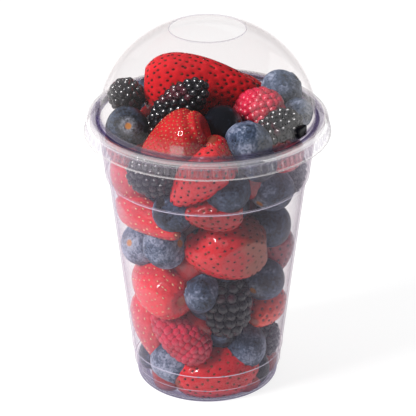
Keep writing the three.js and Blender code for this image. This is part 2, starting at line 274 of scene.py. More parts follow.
def wall_inside(h):
    """Radius of the inner wall of the cup or the dome at a height, in mm."""
    if h > dome_height:
        share = min(1, (h - dome_height) / dome_rise)
        return dome_radius * (1 - share**dome_power) ** (1 / dome_power) - lid_wall
    for (r0, h0), (r1, h1) in zip(foot_to_dome, foot_to_dome[1:]):
        if h <= h1:
            return r0 + (r1 - r0) * max(0, h - h0) / (h1 - h0)
    return foot_to_dome[-1][0]


core_line = [Vector((0, core_bottom, 0))]
core_line += [Vector((wall_inside(h) - core_behind, h, 0)) for h in core_rings]
core_line += [Vector((r, h, 0)) for r, h in core_top]
core = spun(core_line, steps=48)
core_shade, tree, out = blank("deep_fruit_painted_shade")
place = add(tree, "ShaderNodeTexCoord").outputs["Object"]
mottle = add(tree, "ShaderNodeTexNoise", Vector=place, Scale=1 / (6 * MM), Detail=3.0).outputs["Fac"]
# The core's dark reds are painted shade.
tone = add(tree, "ShaderNodeMix", of_colours, _0=mottle, _6=colour("#2A0610"), _7=colour("#5A1020"))
flesh = add(tree, "ShaderNodeBsdfPrincipled", Base_Color=tone.outputs[2], Roughness=0.5)
tree.links.new(flesh.outputs[0], out.inputs["Surface"])
finished(core, "heap_core", core_shade, "fruit_heap")

# Fruit against the wall: whole hulled strawberries, blueberries, raspberries and brambles, filled in
# loosely, so that they lie every way and press flat where they meet the plastic.

# A row gives the kind, turn round the axis (0 at the front, growing to the right), height, length,
# width, and lean of the stem end (a blueberry's crown) along the wall (0 to the right, 90 up). A fruit
# that stands out adds how far that end turns outwards, how ripe or dusty it is, how pointed, and how
# pale its seeds are.
usual_rest = (0, 0.5, 0.3, 0.3)
front_fruit = [
    ("strawberry", -79, 93, 34, 24, 82, 0, 0.5, 0.3, 0.7),
    ("bramble", -42, 104, 22, 17.5, 170),
    ("strawberry", -6, 106, 33, 22, 48, 0, 0.7, 0.5, 0.0),
    ("blueberry", -26, 89.5, 17, 19.4, 125, 0.9, 0.35),
    ("blueberry", 14, 101, 18, 19.6, -20, 0, 0.25),
    ("blueberry", 53, 96, 18, 20, 30, 0, 0.3),
    ("bramble", 80, 97, 20, 15, 80),
    ("strawberry", -48, 83, 38, 14.5, 177, 0, 0.6, 0.3, 0.8),
    ("strawberry", 18, 71, 36, 28, 4, 0.35, -0.65, 0.2, 0.12),
    ("strawberry", 4, 91, 25, 16, 0, 0, 0.3, 0.3, 0.1),
    ("blueberry", 60, 77, 18.4, 20, 0, 0, 0.15),
    ("blueberry", -78, 63.5, 17.5, 19, 215, -1.2, 0.8),
    ("blueberry", -38, 71.5, 17, 20.5, 200, 0, 0.75),
    ("strawberry", 79, 61, 22, 16, 90, 0, 0.0, 0.3, 0.1),
    ("blueberry", 62, 50.5, 18, 20, 15, 0, 0.25),
    ("strawberry", -56, 48, 36, 24, -2, 0, 0.75, 0.3, 0.8),
    ("blueberry", -5, 51.5, 14, 17.6, 165, 0, 0.5),
    ("bramble", 20, 42.5, 29, 22.5, 92),
    ("strawberry", 68, 35, 25, 16.5, 5, 0, 1.3, 0.3, 0.2),
    ("strawberry", -72, 26, 32, 19, 115, 0, 0.7, 0.3, 0.9),
    ("raspberry", -29, 27.5, 31, 20.5, -34),
    ("blueberry", 46, 19.5, 18.6, 21.2, 180, -0.85, 0.65),
    ("bramble", 80, 17, 20, 16, 92),
    ("blueberry", -44, 10.6, 20, 22.6, 60, -1.6, 0.95),
    ("strawberry", 12, 8.8, 38, 25.4, 8, -0.1, 0.75, 0.2, 0.15),
    ("strawberry", -78, 111, 24, 18, 20),
    ("blueberry", 34, 112, 15, 16, 40, 0, 0.1),
    ("strawberry", 62, 111, 22, 16, 170),
    ("blueberry", 54, 7.6, 17, 18, 30, 0, -0.3),
]
back_mix = ["strawberry", "blueberry", "raspberry", "blueberry", "bramble", "strawberry", "raspberry"]
usual_size = {"strawberry": (31, 23), "blueberry": (17, 18.6), "raspberry": (25, 20.5), "bramble": (26, 21)}
back_rows, back_turns = (12, 35, 58, 80, 102), (116, 158, 200, 242)
back_fruit = []
for row, h in enumerate(back_rows):
    for column, turn in enumerate(back_turns):
        kind = back_mix[(row * 5 + column * 3) % len(back_mix)]
        sway = math.sin(row * 2.3 + column * 4.1)
        lift = 3 * math.sin(row * 1.7 + column * 2.9)
        straw = 0.8 if (row + column) % 2 else 0.05
        lie = (turn + 5 * sway, h + lift, *usual_size[kind], 90 * sway)
        back_fruit.append((kind, *lie, 0, 0.45 + 0.2 * sway, 0.3, straw))

# Where a fruit's own x axis points, as far as its stem end lets it: to the front.
front_side = (0.3, -1, 0.2)


def set_down(middle, stem, outward):
    """The place of a fruit: its middle, with its stem end along stem."""
    z = Vector(stem).normalized()
    y = z.cross(Vector(outward)).normalized()
    x = y.cross(z)
    place = Matrix((x, y, z)).transposed().to_4x4()
    place.translation = Vector(middle)
    return place


def at_wall(turn, h, wide, lean, out=0.0, deep=0.0):
    """The place of a fruit that is pressed to the wall, or lies deep mm behind it."""
    a, b = math.radians(turn), math.radians(lean)
    outward = Vector((math.sin(a), -math.cos(a), 0))
    right = Vector((math.cos(a), math.sin(a), 0))
    stem = right * math.cos(b) + Vector((0, 0, math.sin(b))) + outward * out
    middle = outward * (wall_inside(h) - 0.49 * wide - deep) + Vector((0, 0, h))
    return set_down(middle, stem, front_side if out else outward)


def press_in(one, bed):
    """Flattens what would stand through the wall or the bottom, and lays the fruit in its bed."""
    skin_gap, raised_bottom, ring_bottom, ring_inside = 0.12, 2.45, 0.85, 25
    for v in one.verts:
        reach, limit = math.hypot(v.co.x, v.co.y), wall_inside(v.co.z) - skin_gap
        if reach > limit:
            v.co.xy *= limit / reach
        v.co.z = max(v.co.z, raised_bottom if reach < ring_inside else ring_bottom)
        v.co *= MM
    mesh = bpy.data.meshes.new("fruit")
    one.to_mesh(mesh)
    one.free()
    bed.from_mesh(mesh)
    bpy.data.meshes.remove(mesh)


# Strawberries: whole and hulled, the skin waxy and deep red, dimpled round each seed.
# The seeds are dry and hard, and sit in staggered rings from the shoulder to the tip.
strawberry_bed, strawberry_seeds = bmesh.new(), bmesh.new()


def in_rings(surface, pitch, unrest, start):
    """Places all over a fruit, in rings that shift by half a place.

    Each is its turn from the stem end, its turn round the fruit, and a sway of its own from -1 to 1.
    """
    ring_share = 0.87
    turns, turn, last_spot = [start], start, surface(start, 0)
    while turn < math.pi - start:
        turn += 0.01
        spot = surface(turn, 0)
        if (spot - last_spot).length > ring_share * pitch:
            turns.append(turn)
            last_spot = spot
    places = []
    for ring, turn in enumerate(turns):
        count = max(1, round(math.tau * surface(turn, 0).xy.length / pitch))
        for i in range(count):
            sway = math.sin(12.9898 * len(places) + 4.1 * ring)
            lift = math.sin(7.77 * len(places) + 1.3 * ring)
            around = math.tau * (i + 0.5 * (ring % 2) + unrest * sway) / count
            places.append((turn + unrest * lift * pitch / 12, (around + math.pi) % math.tau - math.pi, sway))
    return places


def strawberry(
    long, wide, place, lobes, ripe, sides, rows, point=0.3, straw=0.3, dense=1.0, waist=0.0, beds=None
):
    """Lays down one strawberry, and its seeds where it is near enough for them to show."""
    bare_top, dent_depth, dent_reach = 0.93, 0.5, 0.95
    seed_thick, seed_wide, seed_long = 0.26, 0.4, 0.66
    skin = bmesh.new()
    shade = skin.verts.layers.float_vector.new("on_fruit")

    def surface(turn, around):
        cos_turn, sin_turn = math.cos(turn), max(0, math.sin(turn))
        r = wide / 2 * (0.96 - 0.3 * (point - 0.3)) * sin_turn**0.88 * (1 + point * cos_turn)
        lobed = 0.018 * math.sin(3 * around + 2.3 * lobes + 2 * cos_turn)
        r *= 1 + 0.03 * math.sin(2 * around + lobes) + lobed
        if waist:
            drawn_in = math.exp(-(((cos_turn - 0.78 - 0.1 * math.sin(around)) / 0.1) ** 2))
            r *= 1 - waist * drawn_in + 0.3 * waist * math.sin(3 * around + 2.5 * cos_turn + 1)
        hull = -0.12 * long / 2 * max(0, 1 - sin_turn / 0.33) if cos_turn > 0 else 0
        bend = 0.015 * wide * math.sin(2.2 * cos_turn + lobes)
        return Vector((r * math.cos(around) + bend, r * math.sin(around), long / 2 * cos_turn + hull))

    pitch = (3.2 if beds else 3.7) / math.sqrt(dense)
    rings = in_rings(surface, pitch, unrest=0.16, start=0.16)
    sites = [(turn, around, surface(turn, around)) for turn, around, _ in rings]
    spots = kdtree.KDTree(len(sites))
    for i, (turn, around, spot) in enumerate(sites):
        spots.insert(spot, i)
    spots.balance()
    size = 1 / math.sqrt(dense)
    for v in bmesh.ops.create_uvsphere(skin, u_segments=sides, v_segments=rows, radius=1)["verts"]:
        turn = math.acos(max(-1, min(1, v.co.z)))
        spot = surface(turn, math.atan2(v.co.y, v.co.x))
        near = spots.find(spot)[2] / size
        dent = dent_depth * size * math.exp(-((near / dent_reach) ** 2)) if v.co.z < bare_top else 0
        inward = Vector((v.co.x / wide, v.co.y / wide, v.co.z / long)).normalized()
        # The distance to the seed, raised on fruit with pale seeds, sets the painted shade in the dimples.
        v[shade] = (v.co.z * (0.98 if waist else 1), near + 0.25 * straw, ripe)
        v.co = place @ (spot - inward * dent)
    press_in(skin, beds[0] if beds else strawberry_bed)
    if sides < 30:  # so deep in the heap that no seed shows
        return
    seeds = bmesh.new()
    husk = seeds.verts.layers.float.new("straw")
    for turn, around, spot in sites:
        if math.cos(turn) > bare_top:
            continue
        ahead = surface(turn + 0.02, around) - spot
        aside = surface(turn, around + 0.02) - spot
        out_of = aside.cross(ahead).normalized()
        out_of = out_of if out_of.dot(spot) > 0 else -out_of
        shape = Matrix.Diagonal((seed_thick * size, seed_wide * size, seed_long * size, 1))
        seat = place @ set_down(spot - out_of * seed_thick * size, ahead, out_of) @ shape
        for v in bmesh.ops.create_icosphere(seeds, subdivisions=1, radius=1, matrix=seat)["verts"]:
            v[husk] = straw
    press_in(seeds, beds[1] if beds else strawberry_seeds)


# Strawberry skin, ripe: blood red, paler round the hull and brownish at the very tip, with a thin
# wax that gives small wet highlights in the dimples, and a little light passing through the flesh.
# Where ripe is under 0 the shoulder is still pale, and over 1.1 the whole fruit is orange-red.
# Each dimple is painted darker round its seed, a painted shade.
def ripe_strawberry(name, wet):
    """Strawberry skin under a wet coat, from 0, dry, to 1."""
    material, tree, out = blank(name)
    place = add(tree, "ShaderNodeTexCoord").outputs["Object"]
    laid = add(tree, "ShaderNodeAttribute", {"attribute_name": "on_fruit"}).outputs["Vector"]
    along, from_seed, ripe = add(tree, "ShaderNodeSeparateXYZ", Vector=laid).outputs
    blush = add(tree, "ShaderNodeTexNoise", Vector=place, Scale=1 / (9 * MM), Detail=2.0).outputs["Fac"]
    mottled = add(tree, "ShaderNodeMath", times_plus, _0=blush, _1=0.9, _2=-0.45).outputs[0]
    tone = add(tree, "ShaderNodeMath", {"operation": "ABSOLUTE"}, _0=ripe).outputs[0]
    ripeness = add(
        tree, "ShaderNodeMath", {"operation": "ADD", "use_clamp": True}, _0=tone, _1=mottled
    ).outputs[0]
    red = add(
        tree, "ShaderNodeMix", of_colours, _0=ripeness, _6=colour("#8A0C0C"), _7=colour("#E01624")
    ).outputs[2]
    unripe = add(tree, "ShaderNodeMath", {"operation": "GREATER_THAN"}, _0=ripe, _1=1.1).outputs[0]
    orange = add(tree, "ShaderNodeMix", of_colours, _0=unripe, _6=red, _7=colour("#F43C10")).outputs[2]
    hull = add(tree, "ShaderNodeMapRange", eased, Value=along, From_Min=0.985, From_Max=1.0).outputs[0]
    paler = add(tree, "ShaderNodeMix", of_colours, _0=hull, _6=orange, _7=colour("#C86A50")).outputs[2]
    end = add(
        tree, "ShaderNodeMapRange", eased, Value=along, From_Min=-0.98, From_Max=-0.9, To_Min=0.75,
        To_Max=0.0,
    ).outputs[0]
    tipped = add(tree, "ShaderNodeMix", of_colours, _0=end, _6=paler, _7=colour("#4E3416")).outputs[2]
    shoulder = add(tree, "ShaderNodeMath", times_plus, _0=blush, _1=0.9, _2=along).outputs[0]
    pale_end = add(
        tree, "ShaderNodeMapRange", eased, Value=shoulder, From_Min=0.75, From_Max=1.15, To_Max=0.85
    ).outputs[0]
    half_ripe = add(tree, "ShaderNodeMath", {"operation": "LESS_THAN"}, _0=ripe, _1=0.0).outputs[0]
    cheek = add(tree, "ShaderNodeMath", {"operation": "MULTIPLY"}, _0=pale_end, _1=half_ripe).outputs[0]
    cheeked = add(tree, "ShaderNodeMix", of_colours, _0=cheek, _6=tipped, _7=colour("#8E5038")).outputs[2]
    # Painted shade: the skin is darkened close to each seed, in its dimple.
    pit_shade = add(
        tree, "ShaderNodeMapRange", Value=from_seed, From_Min=0.35, From_Max=1.0, To_Min=0.7,
        To_Max=0.0,
    ).outputs[0]
    pit_shaded = add(tree, "ShaderNodeMix", of_colours, _0=pit_shade, _6=cheeked, _7=colour("#4A0608")).outputs[2]
    grain = add(tree, "ShaderNodeTexNoise", Vector=place, Scale=1 / (2.2 * MM), Detail=1.0).outputs["Fac"]
    strength, depth = 0.25 + 0.5 * wet, (0.12 + 0.5 * wet) * MM
    bump = add(tree, "ShaderNodeBump", Strength=strength, Distance=depth, Height=grain).outputs[0]
    skin = add(
        tree, "ShaderNodeBsdfPrincipled", Base_Color=pit_shaded, Roughness=0.45, Specular_IOR_Level=0.22,
        Subsurface_Weight=0.1, Subsurface_Radius=(1.0, 0.2, 0.1), Subsurface_Scale=1.2 * MM,
        Coat_Weight=wet, Coat_Roughness=0.1, Normal=bump,
    )
    tree.links.new(skin.outputs[0], out.inputs["Surface"])
    return material


strawberry_skin = ripe_strawberry("ripe_strawberry_skin", 0.1)
wet_strawberry_skin = ripe_strawberry("wet_strawberry_skin", 0.7)

# Strawberry seeds, dry: dark brown, red-brown or straw yellow, by how ripe each one is. The palest are a
# pink-white, partly a painted glint.
seed_husk, tree, out = blank("dry_strawberry_seed")
place = add(tree, "ShaderNodeTexCoord").outputs["Object"]
straw = add(tree, "ShaderNodeAttribute", {"attribute_name": "straw"}).outputs["Fac"]
ripe = add(tree, "ShaderNodeTexNoise", Vector=place, Scale=1 / (5 * MM), Detail=1.0).outputs["Fac"]
varied = add(tree, "ShaderNodeMath", times_plus, _0=ripe, _1=0.7, _2=straw).outputs[0]
reddened = add(tree, "ShaderNodeMapRange", Value=varied, From_Min=0.4, From_Max=0.8).outputs[0]
# Partly painted glint: the palest seeds are lightened to pink-white.
pale_seed_and_glint = add(tree, "ShaderNodeMapRange", Value=varied, From_Min=0.8, From_Max=1.25).outputs[0]
warm = add(
    tree, "ShaderNodeMix", of_colours, _0=reddened, _6=colour("#34120A"), _7=colour("#A0602C")
).outputs[2]
husk = add(tree, "ShaderNodeMix", of_colours, _0=pale_seed_and_glint, _6=warm, _7=colour("#EDAE88")).outputs[2]
seed = add(tree, "ShaderNodeBsdfPrincipled", Base_Color=husk, Roughness=0.25)
tree.links.new(seed.outputs[0], out.inputs["Surface"])

# Blueberries: round, a little flattened, with a five-lobed crown at one end and the stem's
# small scar at the other. A dusty wax bloom covers the dark skin and is rubbed off in places.
blueberry_bed = bmesh.new()


def blueberry(long, wide, place, lobes, dusty, sides, rows, bed=None):
    """Lays down one blueberry, with its crown where other fruit has the stem end."""
    lip, lip_width, hollow, scar, scar_hollow = 0.07, 0.07, 0.13, 0.2, 0.06
    skin = bmesh.new()
    shade = skin.verts.layers.float_vector.new("on_fruit")
    for v in bmesh.ops.create_uvsphere(skin, u_segments=sides, v_segments=rows, radius=1)["verts"]:
        x, y, z = v.co
        off, around = math.hypot(x, y), math.atan2(y, x)
        crown = 0.30 + 0.04 * math.cos(5 * around + lobes)
        if z > 0:
            z_lift = lip * math.exp(-(((off - crown) / lip_width) ** 2))
            z_lift -= hollow * max(0, 1 - (off / crown) ** 4)
        else:
            z_lift = scar_hollow * max(0, 1 - (off / scar) ** 4)
        squash = 1 + 0.03 * math.sin(2 * around + lobes)
        v[shade] = (z, off, dusty)
        spot = Vector((x * wide / 2 * squash, y * wide / 2 / squash, (z + z_lift) * long / 2))
        v.co = place @ spot
    press_in(skin, bed or blueberry_bed)


# Blueberry skin with its bloom: dark navy wax, dusted pale blue-grey except where it was rubbed
# or scratched. The crown is dark and dry, the scar a small orange dot in a dusty ring.
blueberry_skin, tree, out = blank("bloomed_blueberry_skin")
place = add(tree, "ShaderNodeTexCoord").outputs["Object"]
laid = add(tree, "ShaderNodeAttribute", {"attribute_name": "on_fruit"}).outputs["Vector"]
along, off_axis, dusty = add(tree, "ShaderNodeSeparateXYZ", Vector=laid).outputs
rubbed = add(
    tree, "ShaderNodeTexNoise", Vector=place, Scale=1 / (8 * MM), Detail=3.0, Roughness=0.6
).outputs["Fac"]
grains = add(
    tree, "ShaderNodeTexNoise", Vector=place, Scale=1 / (1.1 * MM), Detail=4.0, Roughness=0.75,
    Distortion=0.6,
).outputs["Fac"]
veins = add(
    tree, "ShaderNodeTexVoronoi", {"feature": "DISTANCE_TO_EDGE"}, Vector=place,
    Scale=1 / (2.6 * MM), Randomness=1.0,
).outputs["Distance"]
web = add(
    tree, "ShaderNodeMapRange", Value=veins, From_Min=0.0, From_Max=0.16, To_Min=0.12, To_Max=0.0
).outputs[0]
dusted = add(tree, "ShaderNodeMath", times_plus, _0=dusty, _1=0.6, _2=-1.95).outputs[0]
patched = add(tree, "ShaderNodeMath", times_plus, _0=rubbed, _1=2.1, _2=dusted).outputs[0]
grained = add(tree, "ShaderNodeMath", times_plus, _0=grains, _1=2.0, _2=patched).outputs[0]
dust = add(tree, "ShaderNodeMath", {"operation": "ADD", "use_clamp": True}, _0=grained, _1=web).outputs[0]
navy = add(tree, "ShaderNodeMix", of_colours, _0=dust, _6=colour("#080A12"), _7=colour("#586A88")).outputs[2]
frosty = add(tree, "ShaderNodeMapRange", Value=dust, From_Min=0.55, From_Max=1.0, To_Max=0.7).outputs[0]
bloom = add(tree, "ShaderNodeMix", of_colours, _0=frosty, _6=navy, _7=colour("#A6AABA")).outputs[2]
crown_end = add(tree, "ShaderNodeMath", {"operation": "LESS_THAN"}, _0=off_axis, _1=0.26).outputs[0]
crowned = add(tree, "ShaderNodeMix", of_colours, _0=crown_end, _6=bloom, _7=colour("#1C1715")).outputs[2]
under = add(tree, "ShaderNodeMath", {"operation": "LESS_THAN"}, _0=along, _1=0.0).outputs[0]
ray = add(tree, "ShaderNodeMapRange", Value=grains, From_Min=0.35, From_Max=0.65).outputs[0]
near_scar = add(
    tree, "ShaderNodeMapRange", eased, Value=off_axis, From_Min=0.2, From_Max=0.55, To_Min=0.8,
    To_Max=0.0,
).outputs[0]
ring = add(tree, "ShaderNodeMath", {"operation": "MULTIPLY"}, _0=ray, _1=near_scar).outputs[0]
ringed = add(tree, "ShaderNodeMix", of_colours, _0=ring, _6=bloom, _7=colour("#A3A8B4")).outputs[2]
scar = add(
    tree, "ShaderNodeMapRange", Value=off_axis, From_Min=0.12, From_Max=0.18, To_Min=1.0, To_Max=0.0
).outputs[0]
scarred = add(tree, "ShaderNodeMix", of_colours, _0=scar, _6=ringed, _7=colour("#B0702A")).outputs[2]
both = add(tree, "ShaderNodeMix", of_colours, _0=under, _6=crowned, _7=scarred).outputs[2]
dull = add(tree, "ShaderNodeMapRange", Value=dust, To_Min=0.4, To_Max=0.65).outputs[0]
fine = add(tree, "ShaderNodeTexNoise", Vector=place, Scale=1 / (0.9 * MM), Detail=2.0).outputs["Fac"]
bump = add(tree, "ShaderNodeBump", Strength=0.12, Distance=0.1 * MM, Height=fine).outputs[0]
skin = add(
    tree, "ShaderNodeBsdfPrincipled", Base_Color=both, Roughness=dull, Specular_IOR_Level=0.3,
    Normal=bump,
)
tree.links.new(skin.outputs[0], out.inputs["Surface"])

# Raspberries and brambles: a bunch of small juicy drupelets round a soft core, set in rings
# that shift by half a drupelet. Raspberry ones are matt and pink, bramble ones black and shiny.

# For each kind: a drupelet's radius as a share of the fruit's width, its spacing, height and breadth in
# radii, and how much the fruit tapers.
drupelets = {"raspberry": (0.092, 1.55, 0.86, 1.14, 0.16), "bramble": (0.112, 1.7, 1.05, 1.02, 0.08)}
drupe_beds = {"raspberry": bmesh.new(), "bramble": bmesh.new()}


def drupe_fruit(kind, long, wide, place, lobes, bed=None):
    """Lays down one raspberry or bramble: its core and its drupelets."""
    skin = bmesh.new()
    each = skin.verts.layers.float.new("each")
    share, spacing, high, broad, taper = drupelets[kind]
    bead = share * wide

    def surface(turn, around, deep=high * bead):
        tapered = (1 + taper * math.cos(turn)) / (1 + 0.5 * taper)
        r = (wide / 2 - deep) * max(0, math.sin(turn)) ** 0.82 * tapered
        r *= 1 + 0.03 * math.sin(2 * around + lobes)
        return Vector((r * math.cos(around), r * math.sin(around), (long / 2 - deep) * math.cos(turn)))

    for v in bmesh.ops.create_uvsphere(skin, u_segments=20, v_segments=14, radius=1)["verts"]:
        turn = math.acos(max(-1, min(1, v.co.z)))
        v.co = place @ surface(turn, math.atan2(v.co.y, v.co.x))
    for turn, around, sway in in_rings(surface, spacing * bead, unrest=0.1, start=0.12):
        spot = surface(turn, around + 0.3 * lobes)
        out_of = Vector((spot.x / wide**2, spot.y / wide**2, spot.z / long**2)).normalized()
        size = bead * (0.98 + 0.09 * math.sin(9.1 * sway + lobes))
        shape = Matrix.Diagonal((broad * size, broad * size, high * size, 1))
        seat = place @ set_down(spot, out_of, out_of.orthogonal()) @ shape
        reach, limit = seat.translation.xy.length, wall_inside(seat.translation.z) - size
        if reach > limit:
            seat.translation.xy *= limit / reach
        for v in bmesh.ops.create_uvsphere(skin, u_segments=8, v_segments=6, radius=1, matrix=seat)["verts"]:
            v[each] = 0.5 + 0.5 * sway
    press_in(skin, bed or drupe_beds[kind])


# Raspberry drupelets, ripe: pink-crimson and slightly translucent, with a soft velvet bloom.
raspberry_skin, tree, out = blank("ripe_raspberry_drupelets")
place = add(tree, "ShaderNodeTexCoord").outputs["Object"]
each = add(tree, "ShaderNodeAttribute", {"attribute_name": "each"}).outputs["Fac"]
patch = add(tree, "ShaderNodeTexNoise", Vector=place, Scale=1 / (7 * MM), Detail=2.0).outputs["Fac"]
mixed = add(tree, "ShaderNodeMath", times_plus, _0=each, _1=0.35, _2=patch).outputs[0]
even = add(tree, "ShaderNodeMapRange", Value=mixed, From_Min=0.3, From_Max=1.0).outputs[0]
red = add(tree, "ShaderNodeMix", of_colours, _0=even, _6=colour("#9C0C22"), _7=colour("#CC2246")).outputs[2]
skin = add(
    tree, "ShaderNodeBsdfPrincipled", Base_Color=red, Roughness=0.38, Subsurface_Weight=0.15,
    Subsurface_Radius=(1.0, 0.2, 0.18), Subsurface_Scale=1.0 * MM, Coat_Weight=0.3, Coat_Roughness=0.2,
)
tree.links.new(skin.outputs[0], out.inputs["Surface"])

# Bramble drupelets, ripe: nearly black, glossy, here and there one still dark red.
bramble_skin, tree, out = blank("ripe_bramble_drupelets")
place = add(tree, "ShaderNodeTexCoord").outputs["Object"]
each = add(tree, "ShaderNodeAttribute", {"attribute_name": "each"}).outputs["Fac"]
unripe = add(tree, "ShaderNodeTexNoise", Vector=place, Scale=1 / (10 * MM), Detail=0.0).outputs["Fac"]
mixed = add(tree, "ShaderNodeMath", times_plus, _0=each, _1=0.3, _2=unripe).outputs[0]
turned = add(tree, "ShaderNodeMapRange", eased, Value=mixed, From_Min=0.78, From_Max=0.98).outputs[0]
black = add(
    tree, "ShaderNodeMix", of_colours, _0=turned, _6=colour("#0A0A12"), _7=colour("#420E1E")
).outputs[2]
skin = add(
    tree, "ShaderNodeBsdfPrincipled", Base_Color=black, Roughness=0.5, Specular_IOR_Level=0.1,
    Coat_Weight=1.0, Coat_Roughness=0.28,
)
tree.links.new(skin.outputs[0], out.inputs["Surface"])

# The heap: every fruit that lies against the wall, front and back, a second layer behind it that
# shows in the gaps, and three brambles under the crown. One piece for each kind of fruit.
for number, (kind, turn, h, long, wide, lean, *more) in enumerate(front_fruit + back_fruit):
    outwards, tone, point, straw = (*more, *usual_rest[len(more):])
    place, lobes = at_wall(turn, h, wide, lean, outwards), 1.7 * number
    if kind == "strawberry":
        strawberry(long, wide, place, lobes, tone, sides=80, rows=60, point=point, straw=straw)
    elif kind == "blueberry":
        blueberry(long, wide, place, lobes, tone, sides=44, rows=32)
    else:
        drupe_fruit(kind, long, wide, place, lobes)

# The second layer: simpler fruit in staggered rows, the lowest row close to the wall on the bottom.
deep_rows, deep_columns, deep_foot, deep_pitch, deep_wide, stagger = 7, 8, 12, 15.5, 17, 22
behind_wall, on_bottom = 8.5, (1.0, 7.0)
for row in range(deep_rows):
    for column in range(deep_columns):
        sway = math.sin(row * 3.1 + column * 5.3)
        turn = column * 360 / deep_columns + stagger * (row % 2) + 6 * sway
        deep, h = (behind_wall, deep_foot + deep_pitch * row + 3 * sway) if row else on_bottom
        place, lobes = at_wall(turn, h, deep_wide, 80 * sway, 0, deep), 2.3 * row + column
        if (row * 3 + column) % 3:
            strawberry(20, deep_wide, place, lobes, 0.1, sides=22, rows=16)
        else:
            blueberry(16, deep_wide, place, lobes, 0.0, sides=20, rows=14)
under_crown = [
    ((6, -3, 114.5), (0.3, 1, 0.4)),
    ((-17, 0, 114), (1, 0.4, 0.2)),
    ((12, 18, 114), (0, 1, 0.1)),
]
for middle, stem in under_crown:
    drupe_fruit("bramble", 22, 19, set_down(middle, stem, front_side), 1.1)
wall_strawberries = finished(
    strawberry_bed, "heap_strawberries", wet_strawberry_skin, "fruit_heap"
)
finished(strawberry_seeds, "heap_strawberry_seeds", seed_husk, "fruit_heap")
finished(blueberry_bed, "heap_blueberries", blueberry_skin, "fruit_heap")
finished(drupe_beds["raspberry"], "heap_raspberries", raspberry_skin, "fruit_heap")
wall_brambles = finished(drupe_beds["bramble"], "heap_brambles", bramble_skin, "fruit_heap")

# The crown: the fruit on top of the heap that stands up under the dome, laid one by one.
# Each is its own piece: node, kind, middle, length, width, direction of its stem end (a blueberry's
# crown), and how ripe or dusty it is.
crown_fruit = [
    ("strawberry_front", "strawberry", (-13.2, -25.4, 119.4), 30, 22.6, (0.86, -0.12, 0.42), 0.35),
    ("blueberry_front", "blueberry", (16.4, -26.8, 119.5), 16.8, 19.4, (0.35, 0.4, 0.85), 0.55),
    ("blueberry_left", "blueberry", (-32.7, -12.2, 119.8), 16, 17.4, (-0.1, 0.85, -0.45), -0.1),
    ("bramble_right", "bramble", (29.5, -16.6, 121.2), 20.5, 17, (-0.7, 0.2, -0.5), 0.5),
    ("strawberry_tip", "strawberry", (3.6, -29.5, 115.4), 18, 14, (0.2, 0.3, -0.9), 0.5),
    ("bramble_long", "bramble", (-11.4, -9.4, 128.4), 29.5, 17, (-0.78, -0.1, -0.68), 0.5),
    ("bramble_left", "bramble", (-33.6, 5.2, 126.2), 19, 16, (0.3, 0.7, -0.5), 0.5),
    ("blueberry_dark", "blueberry", (6.2, -15.6, 121.8), 16, 17, (-0.9, 0.3, -0.3), -0.7),
    ("blueberry_side", "blueberry", (37.0, -1.0, 121.2), 12.4, 13.4, (0.9, 0.1, 0.3), 0.5),
    ("raspberry_right", "raspberry", (21.6, -4, 122.9), 25, 22.4, (-0.4, 0.6, -0.5), 0.5),
    ("strawberry_top", "strawberry", (-3, 11.4, 127.4), 49, 28, (-1, 0.02, 0.03), 0.55),
    ("blueberry_right", "blueberry", (30.8, 12.2, 125.7), 16.4, 18, (0.7, 0.1, 0.6), 0.75),
    ("strawberry_back", "strawberry", (14.5, 27.5, 117.2), 26, 19, (-0.6, 0.5, -0.3), 0.4),
    ("blueberry_back", "blueberry", (-22.6, 27.2, 117.6), 16, 17.8, (-0.3, 0.8, 0.5), 0.5),
    ("raspberry_back", "raspberry", (-3.4, 33.2, 119.8), 23, 18.5, (-0.9, 0.1, 0.2), 0.5),
]
crown_points = {"strawberry_front": 0.5, "strawberry_top": 0.45, "strawberry_tip": 0.15}
crown_skins = {
    "raspberry": raspberry_skin, "blueberry": blueberry_skin, "bramble": bramble_skin,
    "strawberry": strawberry_skin,
}
pieces = {}
for number, (node, kind, middle, long, wide, stem, tone) in enumerate(crown_fruit):
    place, fruit, lobes = set_down(middle, stem, front_side), bmesh.new(), 2.9 * number + 0.7
    skin = crown_skins[kind]
    if kind == "strawberry":
        seeds, point, straw, dense = bmesh.new(), crown_points.get(node, 0.3), 0.05, 1
        if node in ("strawberry_front", "strawberry_tip"):
            skin, straw, dense = wet_strawberry_skin, 0.55, 1.9
        waist = 0.12 if node == "strawberry_front" else 0
        strawberry(
            long, wide, place, lobes, tone, sides=150, rows=110, point=point, straw=straw,
            dense=dense, waist=waist, beds=(fruit, seeds),
        )
        finished(seeds, f"{node}_seeds", seed_husk, node)
    elif kind == "blueberry":
        blueberry(long, wide, place, lobes, tone, sides=64, rows=48, bed=fruit)
    else:
        drupe_fruit(kind, long, wide, place, lobes, bed=fruit)
    pieces[node] = finished(fruit, f"{node}_skin", skin, node)

# Lid: a dome of clear PET that snaps over the rim, thinner than the cup, with a hole cut in its
# crown, a gutter round the dome, a crimped skirt, and five lugs that keep stacked lids apart.
hole_radius, dome_steps = 16.24, 24
hole_turn = math.acos(hole_radius / dome_radius)


def dome_line(grow):
    """The profile of the dome, or of its inside, from its foot to the edge of the hole.

    It is thick at the foot, and the cut edge is marked a little thick too, which paints it darker: a painted
    shade.
    """
    line = []
    for i in (*range(dome_steps), dome_steps - 0.2, dome_steps):
        turn = hole_turn * (i / dome_steps) ** 1.3
        r = (dome_radius + grow) * math.cos(turn) ** (2 / dome_power)
        h = dome_height + (dome_rise + grow) * math.sin(turn) ** (2 / dome_power)
        # The cut edge's mark is painted shade.
        fold = -0.7 if i < 2 else -0.22 if i == dome_steps else 0
        line.append(Vector((r, h, fold)))
    return line


